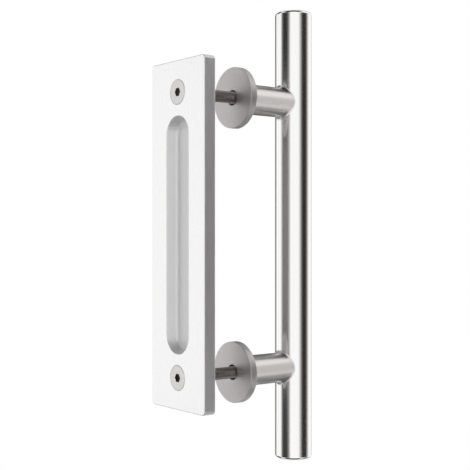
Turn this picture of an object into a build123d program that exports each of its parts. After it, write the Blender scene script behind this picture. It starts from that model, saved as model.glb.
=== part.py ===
"""Back-to-back sliding door pull: a flush finger plate on one face of the door, bolted through it to a bar on the other.

Millimetres. The origin is the centre of the flush plate's back face, +Z is up, and +Y runs through the door to the bar.
"""

import os

from build123d import *

# Layout
bolt_spacing = 180.0
door_thickness = 35.0

# Flush plate
plate_height = 220.0
plate_width = 58.0
plate_thickness = 8.5
plate_corner_r = 2.5
plate_front_edge = 0.7
plate_back_edge = 1.0
bolt_hole_r = 4.4
countersink_r = 8.0
recess_length = 150.0
recess_width = 24.0
recess_depth = 7.0
recess_draft = 18.0
recess_floor_r = 2.6

# M8 countersunk socket bolt, 60 long over its head
bolt_length = 60.0
thread_r = 3.9
thread_tip = 0.9
head_r = 7.75
head_land = countersink_r - head_r
socket_flats = 5.0
socket_depth = 4.0

# Spacer washer
washer_r = 20.0
washer_hole_r = 5.0
washer_thickness = 5.0
washer_edge = 0.4

# Post and its threaded bush
post_r = 10.0
bush_r = 7.7
bush_length = 20.0
post_rim = 2.0
post_reach = 48.0

# Bar
bar_length = 305.0
bar_r = 12.5
bar_wall = 2.5
bar_edge_r = 2.0
plug_length = 6.0

plate_front_y = -plate_thickness
washer_y = door_thickness
seat_y = door_thickness + washer_thickness
bar_y = seat_y + post_reach
bolt_tip_y = plate_front_y + bolt_length
stations = {"upper": bolt_spacing / 2, "lower": -bolt_spacing / 2}


def across(y, z=0.0):
    """A plane square to the bolts at this y and z, facing +Y."""
    return Plane(origin=(0, y, z), x_dir=(-1, 0, 0), z_dir=(0, 1, 0))


def save(built, name):
    built.part.label = name
    export_step(built.part, f"parts/{name}.step")


os.makedirs("parts", exist_ok=True)

# One thick plate with a drafted obround finger recess and a countersunk hole above and below it.
with BuildPart() as flush_plate:
    with BuildSketch(across(plate_front_y)):
        RectangleRounded(plate_width, plate_height, plate_corner_r)
    extrude(amount=plate_thickness)
    front_edges = flush_plate.faces().sort_by(Axis.Y)[0].edges()
    back_edges = flush_plate.faces().sort_by(Axis.Y)[-1].edges()
    chamfer(front_edges, plate_front_edge)
    chamfer(back_edges, plate_back_edge)
    with BuildSketch(across(plate_front_y)):
        SlotOverall(recess_length, recess_width, rotation=90)
    extrude(amount=recess_depth, taper=recess_draft, mode=Mode.SUBTRACT)
    recess_floor = flush_plate.faces().filter_by(Plane.XZ).sort_by(Axis.Y)[1]
    fillet(recess_floor.edges(), recess_floor_r)
    with Locations(*[Plane(origin=(0, plate_front_y, z), z_dir=(0, -1, 0)) for z in stations.values()]):
        CounterSinkHole(bolt_hole_r, countersink_r, counter_sink_angle=90)
save(flush_plate, "flush_plate")

for side, z in stations.items():
    # Countersunk head, then the end of the shank in the bush, the stretch through the door, and the hexagon socket.
    with BuildPart() as bolt:
        with BuildSketch(Plane(origin=(0, plate_front_y, z), x_dir=(1, 0, 0), z_dir=(0, 0, 1))):
            with BuildLine():
                Polyline(
                    (0, 0),
                    (head_r, 0),
                    (head_r, head_land),
                    (thread_r, head_land + head_r - thread_r),
                    (thread_r, plate_thickness),
                    (0, plate_thickness),
                    close=True,
                )
            make_face()
        revolve(axis=Axis((0, 0, z), (0, 1, 0)))
        with BuildSketch(across(door_thickness, z)):
            Circle(thread_r)
        extrude(amount=bolt_tip_y - door_thickness)
        chamfer(bolt.faces().sort_by(Axis.Y)[-1].edges(), thread_tip)
        with BuildSketch(across(0, z)):
            Circle(thread_r)
        extrude(amount=door_thickness, clean=False)
        with BuildSketch(across(plate_front_y, z)):
            RegularPolygon(socket_flats / 2, 6, major_radius=False)
        extrude(amount=socket_depth, mode=Mode.SUBTRACT, clean=False)
    save(bolt, f"{side}_bolt")

    # Thick punched washer between the door and the post, its edge broken on the side of the post.
    with BuildPart() as washer:
        with BuildSketch(across(washer_y, z)):
            Circle(washer_r)
            Circle(washer_hole_r, mode=Mode.SUBTRACT)
        extrude(amount=washer_thickness)
        chamfer(washer.faces().sort_by(Axis.Y)[-1].outer_wire().edges(), washer_edge)
    save(washer, f"{side}_washer")

    # Tapped bush pressed into the post, flush with its end.
    with BuildPart() as bush:
        with BuildSketch(across(seat_y, z)):
            Circle(bush_r)
            Circle(thread_r, mode=Mode.SUBTRACT)
        extrude(amount=bush_length)
    save(bush, f"{side}_threaded_bush")

    # Post tube with an eased end, coped to the bar.
    with BuildPart() as post:
        with BuildSketch(across(seat_y, z)):
            Circle(post_r)
        extrude(amount=post_reach)
        chamfer(post.faces().sort_by(Axis.Y)[0].edges(), post_rim)
        with BuildSketch(across(seat_y, z)):
            Circle(bush_r)
        extrude(amount=post_reach, mode=Mode.SUBTRACT)
        with Locations((0, bar_y, z)):
            Cylinder(bar_r, 3 * post_r, mode=Mode.SUBTRACT)
    save(post, f"{side}_post")

# Bar tube with rounded ends.
with BuildPart() as bar_tube:
    with BuildSketch(Plane(origin=(0, bar_y, -bar_length / 2))):
        Circle(bar_r)
    extrude(amount=bar_length)
    fillet(bar_tube.edges().filter_by(GeomType.CIRCLE), bar_edge_r)
    with Locations((0, bar_y, 0)):
        Cylinder(bar_r - bar_wall, bar_length, mode=Mode.SUBTRACT)
save(bar_tube, "bar_tube")

for side, up in {"upper": 1, "lower": -1}.items():
    # Plug pressed into the end of the bar, flush with it.
    with BuildPart() as end_plug:
        with BuildSketch(Plane(origin=(0, bar_y, up * bar_length / 2), z_dir=(0, 0, -up))):
            Circle(bar_r - bar_wall)
        extrude(amount=plug_length)
    save(end_plug, f"{side}_end_plug")
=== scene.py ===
import math

import bmesh
import bpy
from mathutils import Matrix, Vector


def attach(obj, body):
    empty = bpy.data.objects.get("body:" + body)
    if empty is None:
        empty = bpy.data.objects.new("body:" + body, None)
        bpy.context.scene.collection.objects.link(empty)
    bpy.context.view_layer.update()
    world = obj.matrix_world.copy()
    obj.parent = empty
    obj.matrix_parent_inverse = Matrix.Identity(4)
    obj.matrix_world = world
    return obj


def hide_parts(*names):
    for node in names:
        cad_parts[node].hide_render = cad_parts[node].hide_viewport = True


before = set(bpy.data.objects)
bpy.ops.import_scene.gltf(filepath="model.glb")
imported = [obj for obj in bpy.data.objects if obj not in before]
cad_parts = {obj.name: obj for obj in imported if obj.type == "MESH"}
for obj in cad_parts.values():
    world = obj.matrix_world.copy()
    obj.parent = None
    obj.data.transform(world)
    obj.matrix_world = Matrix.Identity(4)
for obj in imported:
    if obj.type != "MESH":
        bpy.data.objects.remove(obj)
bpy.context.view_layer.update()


# Finger plate
# A thick plate of stainless steel, milled with an obround finger recess and a countersunk hole above
# and below it, then brushed from end to end. It lies on one face of the door, and the two bolts pull
# it tight.

# Sizes are in millimetres, here and in every section up to the studio.
mm_per_metre = 1000
plate_width, plate_height, plate_thickness = 58.0, 220.0, 8.5
plate_corner_r, front_edge_r, back_edge_r = 2.5, 0.4, 1.0
plate_front, plate_back = -plate_thickness, 0.0
bolt_heights = {"upper": 90.0, "lower": -90.0}
hole_r, countersink_r = 4.4, 8.0
hole_edge, countersink_ease = 0.25, 0.3
countersink_foot = plate_front + countersink_r - hole_r
recess_half_width, recess_turn, recess_depth = 12.0, 63.0, 7.0
recess_draft = math.radians(18)
recess_mouth_ease, recess_foot_ease = 0.4, 1.9
recess_floor = plate_front + recess_depth
recess_foot = recess_half_width - recess_depth * math.tan(recess_draft)
# A band of the flat face round each opening is drawn with the opening.
recess_band, hole_front_band, hole_back_band = 2.0, 1.5, 1.0
# Points that are nearer to each other than this are one point.
same_point = 0.001


def eased_wire(points, closed=False):
    """A chain of edges through points of (x, y, z, ease), where ease is the length along each edge
    that the rounding of the corner takes."""
    bm = bmesh.new()
    corners = [bm.verts.new(point[:3]) for point in points]
    for pair in zip(corners, corners[1:] + corners[:closed]):
        bm.edges.new(pair)
    for corner, (*_, ease) in zip(corners, points):
        if ease:
            bmesh.ops.bevel(
                bm, geom=[corner], offset=ease, segments=5, profile=0.5, affect="VERTICES", material=-1
            )
    return bm


def turned(outline, height, closed=False, steps=96):
    """Spins an outline of (radius, y, ease) about the bolt axis at this height."""
    bm = eased_wire([(radius, y, height, ease) for radius, y, ease in outline], closed)
    bmesh.ops.spin(
        bm,
        geom=bm.verts[:] + bm.edges[:],
        cent=(0, 0, height),
        axis=(0, 1, 0),
        angle=math.tau,
        steps=steps,
        use_merge=True,
    )
    bmesh.ops.remove_doubles(bm, verts=bm.verts[:], dist=same_point)
    return bm


def join(target, *others):
    """Moves the other meshes into the target."""
    for other in others:
        carrier = bpy.data.meshes.new("carrier")
        other.to_mesh(carrier)
        other.free()
        target.from_mesh(carrier)
        bpy.data.meshes.remove(carrier)


# The blank has rounded corners and eased edges. Its front and back stay open until the openings are in.
plate = bmesh.new()
bmesh.ops.create_cube(plate, size=1.0)
bmesh.ops.scale(plate, vec=(plate_width, plate_thickness, plate_height), verts=plate.verts[:])
bmesh.ops.translate(plate, vec=(0, plate_front / 2, 0), verts=plate.verts[:])
corner_edges = [e for e in plate.edges if abs(e.verts[0].co.y - e.verts[1].co.y) > plate_thickness / 2]
bmesh.ops.bevel(
    plate, geom=corner_edges, offset=plate_corner_r, segments=8, profile=0.5, affect="EDGES", material=-1
)
for outermost, edge_r, segments in ((min, front_edge_r, 4), (max, back_edge_r, 5)):
    face = outermost(plate.faces, key=lambda f: f.calc_center_median().y)
    rim = face.edges[:]
    bmesh.ops.bevel(
        plate, geom=rim, offset=edge_r, segments=segments, profile=0.5, affect="EDGES", material=-1
    )
    face = outermost(plate.faces, key=lambda f: f.calc_center_median().y)
    bmesh.ops.delete(plate, geom=[face], context="FACES_ONLY")

# The recess: its section runs from the band on the front face to the middle of the floor, and is carried
# round both ends and along both sides.
recess = eased_wire(
    [
        (recess_half_width + recess_band, plate_front, recess_turn, 0),
        (recess_half_width, plate_front, recess_turn, recess_mouth_ease),
        (recess_foot, recess_floor, recess_turn, recess_foot_ease),
        (0, recess_floor, recess_turn, 0),
    ]
)
section = recess.verts[:] + recess.edges[:]
for end in (recess_turn, -recess_turn):
    half_round = bmesh.ops.spin(
        recess, geom=section, cent=(0, 0, end), axis=(0, 1, 0), angle=-math.pi, steps=40
    )
    last_edges = [g for g in half_round["geom_last"] if isinstance(g, bmesh.types.BMEdge)]
    straight = bmesh.ops.extrude_edge_only(recess, edges=last_edges)
    section = [g for g in straight["geom"] if not isinstance(g, bmesh.types.BMFace)]
    moved = [g for g in section if isinstance(g, bmesh.types.BMVert)]
    bmesh.ops.translate(recess, vec=(0, 0, -2 * end), verts=moved)
bmesh.ops.remove_doubles(recess, verts=recess.verts[:], dist=same_point)

# Each bolt hole: a cone for the head, then a clearance hole to the back.
hole_outline = [
    (countersink_r + hole_front_band, plate_front, 0),
    (countersink_r, plate_front, hole_edge),
    (hole_r, countersink_foot, countersink_ease),
    (hole_r, plate_back, hole_edge),
    (hole_r + hole_back_band, plate_back, 0),
]
join(plate, recess, *[turned(hole_outline, z) for z in bolt_heights.values()])
for y in (plate_front, plate_back):
    rims = [
        e for e in plate.edges if e.is_boundary and all(abs(v.co.y - y) < same_point for v in e.verts)
    ]
    bmesh.ops.triangle_fill(plate, use_beauty=True, edges=rims)


def linear(colour):
    """An sRGB hex colour as the linear RGBA that a socket takes."""
    channels = [int(colour[i : i + 2], 16) / 255 for i in (1, 3, 5)]
    return [c / 12.92 if c <= 0.04045 else ((c + 0.055) / 1.055) ** 2.4 for c in channels] + [1.0]


def add_node(material, kind, inputs, **settings):
    """Adds a node with its settings; an input takes a value, or the socket that it is linked to."""
    node = material.node_tree.nodes.new(kind)
    for name, value in settings.items():
        setattr(node, name, value)
    for name, value in inputs.items():
        if isinstance(value, bpy.types.NodeSocket):
            material.node_tree.links.new(value, node.inputs[name])
        else:
            node.inputs[name].default_value = value
    return node


def worked_steel(name, line_size, detail, dark, light, smooth, rough, depth):
    """Steel whose tool marks have these sizes along x, y and z in millimetres. From mark to mark the
    colour runs from dark to light, the roughness from smooth to rough, and the surface rises and
    falls by depth in millimetres."""
    material = bpy.data.materials.new(name)
    material.use_nodes = True
    material.node_tree.nodes.clear()
    place = add_node(material, "ShaderNodeTexCoord", {})
    stretch = add_node(
        material,
        "ShaderNodeMapping",
        {"Vector": place.outputs["Object"], "Scale": [mm_per_metre / size for size in line_size]},
    )
    marks = add_node(
        material,
        "ShaderNodeTexNoise",
        {"Vector": stretch.outputs["Vector"], "Scale": 1.0, "Detail": detail},
    )
    # The colour sockets of this node are its inputs 6 and 7 and its output 2.
    tint = add_node(
        material,
        "ShaderNodeMix",
        {"Factor": marks.outputs["Fac"], 6: linear(dark), 7: linear(light)},
        data_type="RGBA",
    )
    # Most of the noise lies between 0.3 and 0.7.
    polish = add_node(
        material,
        "ShaderNodeMapRange",
        {"Value": marks.outputs["Fac"], "From Min": 0.3, "From Max": 0.7, "To Min": smooth, "To Max": rough},
    )
    relief = add_node(
        material,
        "ShaderNodeBump",
        {"Height": marks.outputs["Fac"], "Strength": 1.0, "Distance": depth / mm_per_metre},
    )
    shader = add_node(
        material,
        "ShaderNodeBsdfPrincipled",
        {
            "Base Color": tint.outputs[2],
            "Metallic": 1.0,
            "Roughness": polish.outputs["Result"],
            "Normal": relief.outputs["Normal"],
        },
    )
    add_node(material, "ShaderNodeOutputMaterial", {"Surface": shader.outputs["BSDF"]})
    return material


# The front is brushed along its length: a soft, bright sheen with fine upright streaks.
# The belt's lines are about 0.1 mm apart and are drawn 0.4 mm apart and 30 mm long, so that they show.
plate_steel = worked_steel(
    "stainless_steel_brushed_lengthways",
    line_size=(0.4, 0.4, 30),
    detail=3.0,
    dark="#f3f2f2",
    light="#fdfdfd",
    smooth=0.22,
    rough=0.3,
    depth=0.001,
)
# The sides and the countersinks are as the cutter left them: greyer and duller than the front.
# The cutter's lines are about 0.2 mm apart and are drawn 0.5 mm apart, so that they show.
milled_steel = worked_steel(
    "stainless_steel_milled",
    line_size=(0.5, 0.5, 20),
    detail=3.0,
    dark="#e8e7e7",
    light="#f4f3f3",
    smooth=0.4,
    rough=0.48,
    depth=0.001,
)
# The recess is blasted with fine beads after milling: a soft, even grey, kind to the fingers.
# The beads leave a grain of about 0.2 mm, which is drawn at 0.5 mm, so that it shows.
blasted_steel = worked_steel(
    "stainless_steel_bead_blasted",
    line_size=(0.5, 0.5, 0.5),
    detail=4.0,
    dark="#eeeded",
    light="#f7f7f7",
    smooth=0.54,
    rough=0.62,
    depth=0.002,
)
# The back is left as rolled: dull, without streaks, with a faint mottle 1 to 3 mm across. Its grey is
# painted darker than rolled steel, so that the bar mirrors a dark stripe from it: painted shade.
rolled_steel = worked_steel(
    "stainless_steel_rolled_back_painted_dark",
    line_size=(1.2, 1.2, 2.5),
    detail=4.0,
    dark="#a09d9b",
    light="#b2afad",
    smooth=0.5,
    rough=0.6,
    depth=0.002,
)

# A face is flat to the door where its normal lies along y by at least this share.
flat_share = 0.999
plate_finishes = [plate_steel, milled_steel, blasted_steel, rolled_steel]
plate.normal_update()
bmesh.ops.recalc_face_normals(plate, faces=plate.faces[:])
for face in plate.faces:
    middle = face.calc_center_median()
    if face.normal.y < -flat_share and middle.y < plate_front + same_point:
        finish = plate_steel
    # The back faces take the darker grey, which is painted shade for the bar to mirror.
    elif face.normal.y > flat_share:
        finish = rolled_steel
    elif abs(middle.x) < recess_half_width and abs(middle.z) < recess_turn + recess_half_width:
        finish = blasted_steel
    else:
        finish = milled_steel
    face.material_index = plate_finishes.index(finish)


def finish_piece(bm, name, materials, slot, *nodes):
    """Closes a mesh that is drawn in millimetres, brings it to metres and puts it in place of its CAD
    nodes. Edges that turn by more than 40 degrees stay sharp."""
    bmesh.ops.remove_doubles(bm, verts=bm.verts[:], dist=same_point)
    bmesh.ops.recalc_face_normals(bm, faces=bm.faces[:])
    bmesh.ops.scale(bm, vec=[1 / mm_per_metre] * 3, verts=bm.verts[:])
    mesh = bpy.data.meshes.new(name)
    bm.to_mesh(mesh)
    bm.free()
    mesh.shade_smooth()
    mesh.set_sharp_from_angle(angle=math.radians(40))
    for material in materials:
        mesh.materials.append(material)
    piece = bpy.data.objects.new(name, mesh)
    bpy.context.scene.collection.objects.link(piece)
    piece.modifiers.new("flat_faces_stay_flat", "WEIGHTED_NORMAL").keep_sharp = True
    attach(piece, "root")
    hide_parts(*nodes)
    return piece


finger_plate = finish_piece(plate, "finger_plate", plate_finishes, "plate_steel", "flush_plate")


# Countersunk bolts
# Two M8 screws of stainless steel, forged with a countersunk head and a hexagon socket, and rolled with
# a thread along the whole shank. They pass through the plate and the door into the posts.

head_r, head_land, neck_r, bolt_length = 7.75, 0.25, 3.2, 60.0
head_ease, land_ease, neck_ease = 0.15, 0.1, 0.3
head_foot = plate_front + head_land + head_r - neck_r
bolt_tip = plate_front + bolt_length
socket_flats, socket_depth, socket_point, socket_chamfer = 5.0, 4.0, 0.9, 0.2
socket_corner_r = socket_flats / 2 / math.cos(math.pi / 6)
socket_land_r = 3.5
crest_r, root_r, pitch = 3.9, 3.25, 1.25
# Along one pitch, the crest is flat up to the first of these, and the root between the other two.
crest_end, root_start, root_end = 0.16, 0.54, 0.85
thread_start, turns, steps_in_turn = -2.0, 46, 32
first_crest = thread_start - pitch

# The head is pickled after forging: pale and softly bright, with a faint mottle about 0.5 mm across.
head_steel = worked_steel(
    "bolt_steel_pickled",
    line_size=(0.5, 0.5, 0.5),
    detail=4.0,
    dark="#d2cece",
    light="#e4e1e1",
    smooth=0.24,
    rough=0.36,
    depth=0.003,
)
# The rolled thread and the socket are painted darker than the head, as painted shade for their hollows.
# The tone varies in patches about 0.6 mm across, with a soft shine on the crests.
thread_steel = worked_steel(
    "bolt_steel_thread_painted_shade",
    line_size=(0.6, 0.6, 0.6),
    detail=4.0,
    dark="#9c9693",
    light="#b8b2af",
    smooth=0.28,
    rough=0.42,
    depth=0.004,
)
bolt_finishes = [head_steel, thread_steel]
# The faces in the thread and the socket take the painted shade.
oiled = bolt_finishes.index(thread_steel)

screws = []
for side, z in bolt_heights.items():
    # The head is turned round its socket, and its neck runs to the start of the thread in the plate's hole.
    bolt = turned(
        [
            (socket_land_r, plate_front, 0),
            (head_r, plate_front, head_ease),
            (head_r, plate_front + head_land, land_ease),
            (neck_r, head_foot, neck_ease),
            (neck_r, thread_start, 0),
        ],
        z,
    )
    mouth = [e for e in bolt.edges if e.is_boundary and e.verts[0].co.y < head_foot]
    upright = Matrix.Rotation(math.pi / 6, 4, "Y") @ Matrix.Rotation(math.pi / 2, 4, "X")
    socket = bmesh.ops.create_circle(bolt, segments=6, radius=socket_corner_r, matrix=upright)["verts"]
    bmesh.ops.translate(bolt, vec=(0, plate_front, z), verts=socket)
    hexagon = [e for e in bolt.edges if e.verts[0] in socket and e.verts[1] in socket]
    bmesh.ops.triangle_fill(bolt, use_beauty=True, edges=mouth + hexagon)
    walls = bmesh.ops.extrude_edge_only(bolt, edges=hexagon)["geom"]
    foot = [g for g in walls if isinstance(g, bmesh.types.BMVert)]
    bmesh.ops.translate(bolt, vec=(0, socket_depth, 0), verts=foot)
    foot_edges = [e for e in bolt.edges if e.verts[0] in foot and e.verts[1] in foot]
    bottom = bmesh.ops.holes_fill(bolt, edges=foot_edges)["faces"]
    point = bmesh.ops.poke(bolt, faces=bottom)["verts"]
    bmesh.ops.translate(bolt, vec=(0, socket_point, 0), verts=point)
    # The socket's faces take the painted shade.
    for face in bolt.faces:
        if all(v in socket or v in foot or v in point for v in face.verts):
            face.material_index = oiled
    bmesh.ops.bevel(
        bolt, geom=hexagon, offset=socket_chamfer, segments=2, profile=0.5, affect="EDGES", material=-1
    )

    # The thread: one tooth of its section, screwed along the shank, cut square at both ends and closed
    # to the neck.
    thread = eased_wire(
        [
            (crest_r, first_crest, z, 0),
            (crest_r, first_crest + crest_end, z, 0),
            (root_r, first_crest + root_start, z, 0),
            (root_r, first_crest + root_end, z, 0),
            (crest_r, thread_start, z, 0),
        ]
    )
    bmesh.ops.spin(
        thread,
        geom=thread.verts[:] + thread.edges[:],
        cent=(0, 0, z),
        axis=(0, 1, 0),
        dvec=(0, pitch / steps_in_turn, 0),
        angle=math.tau * turns,
        steps=turns * steps_in_turn,
    )
    bmesh.ops.remove_doubles(thread, verts=thread.verts[:], dist=same_point)
    for cut, outwards in ((thread_start, -1), (bolt_tip, 1)):
        bmesh.ops.bisect_plane(
            thread,
            geom=thread.verts[:] + thread.edges[:] + thread.faces[:],
            dist=1e-4,
            plane_co=(0, cut, 0),
            plane_no=(0, outwards, 0),
            clear_outer=True,
        )
    tip = [e for e in thread.edges if e.is_boundary and e.verts[0].co.y > bolt_tip - pitch / 2]
    bmesh.ops.holes_fill(thread, edges=tip)
    # The whole thread takes the painted shade.
    for face in thread.faces:
        face.material_index = oiled
    join(bolt, thread)
    bmesh.ops.triangle_fill(bolt, use_beauty=True, edges=[e for e in bolt.edges if e.is_boundary])
    screw = finish_piece(bolt, f"{side}_socket_screw", bolt_finishes, "bolt_steel", f"{side}_bolt")
    screws.append(screw)


# Spacer washers
# Two thick washers, punched from steel sheet and tumbled to a fine matt. Each lies on the far face of
# the door and carries the end of a post.

washer_r, washer_hole_r, washer_thickness = 20.0, 5.0, 5.0
punched_edge, broken_edge = 0.3, 0.4
washer_seat = 35.0
post_seat = washer_seat + washer_thickness

# Tumbled steel: an even grey with no shine of its own.
# Its faint speckle is about 0.3 mm across and is drawn at 0.6 mm, so that it shows.
washer_steel = worked_steel(
    "washer_steel_tumbled_matt",
    line_size=(0.6, 0.6, 0.6),
    detail=5.0,
    dark="#cdc8c8",
    light="#dedada",
    smooth=0.4,
    rough=0.55,
    depth=0.006,
)

for side, z in bolt_heights.items():
    washer = turned(
        [
            (washer_hole_r, washer_seat, punched_edge),
            (washer_r, washer_seat, punched_edge),
            (washer_r, post_seat, broken_edge),
            (washer_hole_r, post_seat, punched_edge),
        ],
        z,
        closed=True,
        steps=128,
    )
    finish_piece(washer, f"{side}_spacer_washer", [washer_steel], "washer_steel", f"{side}_washer")


# Threaded bushes
# A tapped steel bush is turned on the lathe and pressed into the door end of each post, flush with it.
# The bolt screws into it.

# Steel as it comes off the lathe: grey, with fine rings 0.3 mm apart along its length.
bush_steel = worked_steel(
    "bush_steel_turned",
    line_size=(8, 0.3, 8),
    detail=3.0,
    dark="#b9b3b0",
    light="#cfcac8",
    smooth=0.3,
    rough=0.45,
    depth=0.004,
)

for side in bolt_heights:
    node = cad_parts[f"{side}_threaded_bush"]
    node.data.materials.clear()
    node.data.materials.append(bush_steel)


# Posts
# Two lengths of steel tube with a rounded rim at the door end. The other end is coped to the bar and
# welded to it, and the weld is ground to a small fillet.

post_r, post_bore_r, post_reach = 10.0, 7.7, 48.0
post_rim_ease, post_bore_ease = 2.0, 0.2
# The tube is turned up to here, short of the weld.
turned_end = 70.0
bar_r, bar_axis = 12.5, post_seat + post_reach
weld_r, weld_steps = 2.0, 5

# Satin steel, brushed round the post: a soft, broad highlight along it, with fine rings.
# The rings are about 0.3 mm apart and are drawn 0.5 mm apart, so that they show.
post_steel = worked_steel(
    "stainless_steel_satin_post",
    line_size=(9, 0.5, 9),
    detail=3.0,
    dark="#e6e2df",
    light="#efecea",
    smooth=0.3,
    rough=0.36,
    depth=0.02,
)


def weld_point(turn, share, z):
    """A point of the weld's fillet, which a ball draws as it rolls in the corner between post and bar.
    Turn is its place round the post, and share runs from the post to the bar."""
    ball = Vector(((post_r + weld_r) * math.cos(turn), 0, (post_r + weld_r) * math.sin(turn)))
    ball.y = bar_axis - math.sqrt((bar_r + weld_r) ** 2 - ball.x**2)
    to_post = Vector((-math.cos(turn), 0, -math.sin(turn)))
    to_bar = Vector((-ball.x, bar_axis - ball.y, 0)).normalized()
    return ball + weld_r * to_post.slerp(to_bar, share) + Vector((0, 0, z))


posts = []
for side, z in bolt_heights.items():
    post = turned(
        [
            (post_bore_r, turned_end, 0),
            (post_bore_r, post_seat, post_bore_ease),
            (post_r, post_seat, post_rim_ease),
            (post_r, turned_end, 0),
        ],
        z,
        steps=128,
    )
    centre = Vector((0, turned_end, z))
    rims = [e for e in post.edges if e.is_boundary]
    bore_rim = [e for e in rims if (e.verts[0].co - centre).length < (post_bore_r + post_r) / 2]
    outer_rim = [e for e in rims if e not in bore_rim]
    for step in range(weld_steps + 1):
        ring = bmesh.ops.extrude_edge_only(post, edges=outer_rim)["geom"]
        for vert in (g for g in ring if isinstance(g, bmesh.types.BMVert)):
            vert.co = weld_point(math.atan2(vert.co.z - z, vert.co.x), step / weld_steps, z)
        outer_rim = [g for g in ring if isinstance(g, bmesh.types.BMEdge) and g.is_boundary]
    ring = bmesh.ops.extrude_edge_only(post, edges=bore_rim)["geom"]
    for vert in (g for g in ring if isinstance(g, bmesh.types.BMVert)):
        vert.co.y = bar_axis - math.sqrt(bar_r**2 - vert.co.x**2)
    bore_rim = [g for g in ring if isinstance(g, bmesh.types.BMEdge) and g.is_boundary]
    bmesh.ops.bridge_loops(post, edges=outer_rim + bore_rim)
    posts.append(finish_piece(post, f"{side}_welded_post", [post_steel], "post_steel", f"{side}_post"))


# Bar
# One length of stainless steel tube, cut square, rounded at both ends and polished all over. The posts
# are welded to it, and a plug closes each end.

bar_half_length, bar_wall = 152.5, 2.5
bar_end_ease, bar_bore_ease = 2.0, 0.15
bar_bore_r = bar_r - bar_wall

# Polished stainless steel: a near mirror, with a faint haze from the buffing wheel in streaks about
# 1.5 mm wide along the bar.
bar_steel = worked_steel(
    "stainless_steel_polished",
    line_size=(1.5, 1.5, 60),
    detail=2.0,
    dark="#f6f5f4",
    light="#fbfafa",
    smooth=0.1,
    rough=0.15,
    depth=0.0005,
)


def stand_on_bar_axis(bm, up):
    """Moves a mesh that is turned about the y axis to the axis of the bar, pointing up (1) or down (-1)."""
    upright = Matrix.Rotation(up * math.pi / 2, 3, "X")
    bmesh.ops.rotate(bm, cent=(0, 0, 0), matrix=upright, verts=bm.verts[:])
    bmesh.ops.translate(bm, vec=(0, bar_axis, 0), verts=bm.verts[:])


bar = turned(
    [
        (bar_bore_r, -bar_half_length, bar_bore_ease),
        (bar_r, -bar_half_length, bar_end_ease),
        (bar_r, bar_half_length, bar_end_ease),
        (bar_bore_r, bar_half_length, bar_bore_ease),
    ],
    0,
    closed=True,
    steps=180,
)
stand_on_bar_axis(bar, 1)
finish_piece(bar, "polished_bar", [bar_steel], "bar_steel", "bar_tube")


# End plugs
# A turned disc of stainless steel is pressed into each end of the bar, flush with it. Its face is
# brushed before it goes in.

plug_length, plug_inner_ease, plug_face_ease = 6.0, 0.3, 0.2
plug_inner = bar_half_length - plug_length

# Stainless steel brushed one way: a soft sheen with fine straight lines.
# The lines are about 0.1 mm apart and are drawn 0.4 mm apart, so that they show.
plug_steel = worked_steel(
    "stainless_steel_brushed_face",
    line_size=(0.4, 12, 0.4),
    detail=3.0,
    dark="#e4e2e1",
    light="#f1f0ef",
    smooth=0.34,
    rough=0.42,
    depth=0.002,
)

for side, up in {"upper": 1, "lower": -1}.items():
    plug = turned(
        [
            (0, plug_inner, 0),
            (bar_bore_r, plug_inner, plug_inner_ease),
            (bar_bore_r, bar_half_length, plug_face_ease),
            (0, bar_half_length, 0),
        ],
        0,
    )
    stand_on_bar_axis(plug, up)
    finish_piece(plug, f"{side}_bar_plug", [plug_steel], "bar_steel", f"{side}_end_plug")


# Studio
# A white room with even light. Dark cards with soft edges stand round the handle and put the stripes on
# the steel, and two soft glows each light only some of the pieces. Sizes are in metres from here on.

floor_drop, floor_half_width = 1.5, 6.0
white = linear("#ffffff")

world = bpy.data.worlds.new("white_room")
world.use_nodes = True
bpy.context.scene.world = world
background = world.node_tree.nodes["Background"].inputs
background["Color"].default_value = white
background["Strength"].default_value = 1.0

# Matt white paint, so that the floor shows no shine.
floor_paint = bpy.data.materials.new("white_floor")
floor_paint.use_nodes = True
floor_finish = floor_paint.node_tree.nodes["Principled BSDF"].inputs
floor_finish["Base Color"].default_value = white
floor_finish["Roughness"].default_value = 1.0
floor_finish["Specular IOR Level"].default_value = 0.0


def stage_piece(bm, name, material):
    """Puts a mesh in the studio, as a thing that isn't part of the handle."""
    mesh = bpy.data.meshes.new(name)
    bm.to_mesh(mesh)
    bm.free()
    mesh.materials.append(material)
    piece = bpy.data.objects.new(name, mesh)
    bpy.context.scene.collection.objects.link(piece)
    return piece


floor_mesh = bmesh.new()
bmesh.ops.create_grid(floor_mesh, x_segments=1, y_segments=1, size=floor_half_width)
bmesh.ops.translate(floor_mesh, vec=(0, 0, -floor_drop), verts=floor_mesh.verts[:])
stage_piece(floor_mesh, "floor", floor_paint)


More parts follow.
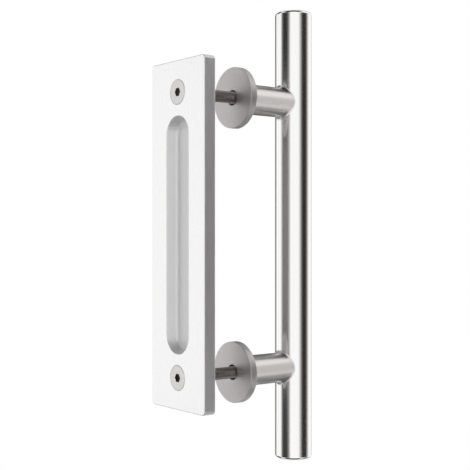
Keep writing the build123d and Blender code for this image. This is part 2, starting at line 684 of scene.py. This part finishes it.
def soft_card(name, shade, direction, size, fade, distance=1.3, lit=()):
    """A card that faces the handle from this distance and is seen only in reflections. Its direction is
    an azimuth and an elevation in degrees: azimuth 0 is in front of the plate, at -Y, and 90 is at +X.
    It fades out from each edge over these shares of its width and height. With a list of lit pieces it
    is a clear sheet that glows for them alone."""
    azimuth, elevation = direction
    width, height = size
    bm = bmesh.new()
    bm.loops.layers.uv.new("card")
    bmesh.ops.create_grid(bm, x_segments=1, y_segments=1, size=0.5, calc_uvs=True)
    bmesh.ops.scale(bm, vec=(width, height, 1), verts=bm.verts[:])
    bmesh.ops.translate(bm, vec=(0, 0, distance), verts=bm.verts[:])
    tilt = Matrix.Rotation(math.radians(90 - elevation), 4, "X")
    turn = Matrix.Rotation(math.radians(azimuth), 4, "Z")
    bmesh.ops.transform(bm, matrix=turn @ tilt, verts=bm.verts[:])
    paint = bpy.data.materials.new(name)
    paint.use_nodes = True
    paint.node_tree.nodes.clear()
    across = add_node(paint, "ShaderNodeUVMap", {}, uv_map="card")
    parts = add_node(paint, "ShaderNodeSeparateXYZ", {"Vector": across.outputs["UV"]})
    fades = []
    for axis, share in zip("XY", fade):
        # The way in from the nearer edge runs from 0 to 0.5 of the card.
        inset = add_node(paint, "ShaderNodeMath", {0: parts.outputs[axis], 1: 0.5}, operation="PINGPONG")
        soft_edge = add_node(
            paint,
            "ShaderNodeMapRange",
            {"Value": inset.outputs["Value"], "From Min": 0.0, "From Max": share},
            interpolation_type="SMOOTHSTEP",
        )
        fades.append(soft_edge.outputs["Result"])
    cover = add_node(paint, "ShaderNodeMath", {0: fades[0], 1: fades[1]}, operation="MULTIPLY")
    clear = add_node(paint, "ShaderNodeBsdfTransparent", {})
    card = add_node(paint, "ShaderNodeEmission", {"Color": linear(shade)})
    if lit:
        paint.node_tree.links.new(cover.outputs["Value"], card.inputs["Strength"])
        blend = add_node(
            paint, "ShaderNodeAddShader", {0: clear.outputs["BSDF"], 1: card.outputs["Emission"]}
        )
    else:
        blend = add_node(
            paint,
            "ShaderNodeMixShader",
            {"Fac": cover.outputs["Value"], 1: clear.outputs["BSDF"], 2: card.outputs["Emission"]},
        )
    add_node(paint, "ShaderNodeOutputMaterial", {"Surface": blend.outputs["Shader"]})
    piece = stage_piece(bm, name, paint)
    if lit:
        receivers = bpy.data.collections.new(name)
        for lit_piece in lit:
            receivers.objects.link(lit_piece)
        piece.light_linking.receiver_collection = receivers
    piece.visible_camera = False
    piece.visible_diffuse = False
    piece.visible_shadow = False


# A glow hangs in front of the card that it lightens.
glow_distance = 1.2

# In front of the plate, with a glow for the plate and the bolts.
soft_card("card_front", "#9c9c9c", direction=(-2, 0), size=(2.05, 2.0), fade=(0.25, 0.1))
soft_card("card_front_upper", "#303030", direction=(-4, 24), size=(1.7, 0.7), fade=(0.4, 0.2))
soft_card("card_front_lower", "#383838", direction=(-4, -24), size=(1.7, 0.7), fade=(0.4, 0.2))
soft_card(
    "glow_front",
    "#bcbcbc",
    direction=(10, 0),
    size=(1.5, 1.7),
    fade=(0.4, 0.3),
    distance=glow_distance,
    lit=[finger_plate, *screws],
)

# To the right: the dark stripe along the bar and the shade on the plate's side, with a glow for the posts.
soft_card("card_right", "#332f2e", direction=(125, 0), size=(2.4, 1.5), fade=(0.42, 0.1))
soft_card(
    "glow_right",
    "#c0c0c0",
    direction=(125, 0),
    size=(2.2, 1.45),
    fade=(0.42, 0.1),
    distance=glow_distance,
    lit=posts,
)
soft_card("card_right_lower", "#808080", direction=(160, -45), size=(1.4, 0.9), fade=(0.3, 0.3))

# Behind the bar and to the left of the handle.
soft_card("card_behind_upper", "#303030", direction=(-138, 36), size=(1.0, 0.7), fade=(0.3, 0.25))
soft_card("card_behind_lower", "#404040", direction=(-138, -36), size=(1.0, 0.7), fade=(0.3, 0.25))
soft_card("card_side_upper", "#202020", direction=(-75, 39), size=(1.4, 1.0), fade=(0.3, 0.3))
soft_card("card_side_lower", "#080808", direction=(-75, -40), size=(1.4, 1.0), fade=(0.3, 0.3))
soft_card("card_left", "#606060", direction=(-122, 0), size=(2.6, 1.8), fade=(0.4, 0.2))

# Over and under the handle.
soft_card("card_above", "#080808", direction=(50, 72), size=(2.4, 1.8), fade=(0.2, 0.15))
soft_card("card_below", "#505050", direction=(50, -72), size=(2.4, 1.8), fade=(0.2, 0.15))


# Camera
# It is level with the middle of the handle, to the right of the plate, and sees the handle at the angle
# and in about the size of the picture. Its sensor and lens are in millimetres.

camera_place = Vector((0.5195, -0.3652, 0.0))
camera_target = Vector((0.0, 0.0373, 0.0))

lens = bpy.data.cameras.new("camera")
lens.sensor_width = 36.0
lens.lens = 76.6
camera = bpy.data.objects.new("camera", lens)
camera.location = camera_place
camera.rotation_euler = (camera_target - camera_place).to_track_quat("-Z", "Y").to_euler()
bpy.context.scene.collection.objects.link(camera)
bpy.context.scene.camera = camera

bpy.context.scene.view_settings.view_transform = "Standard"
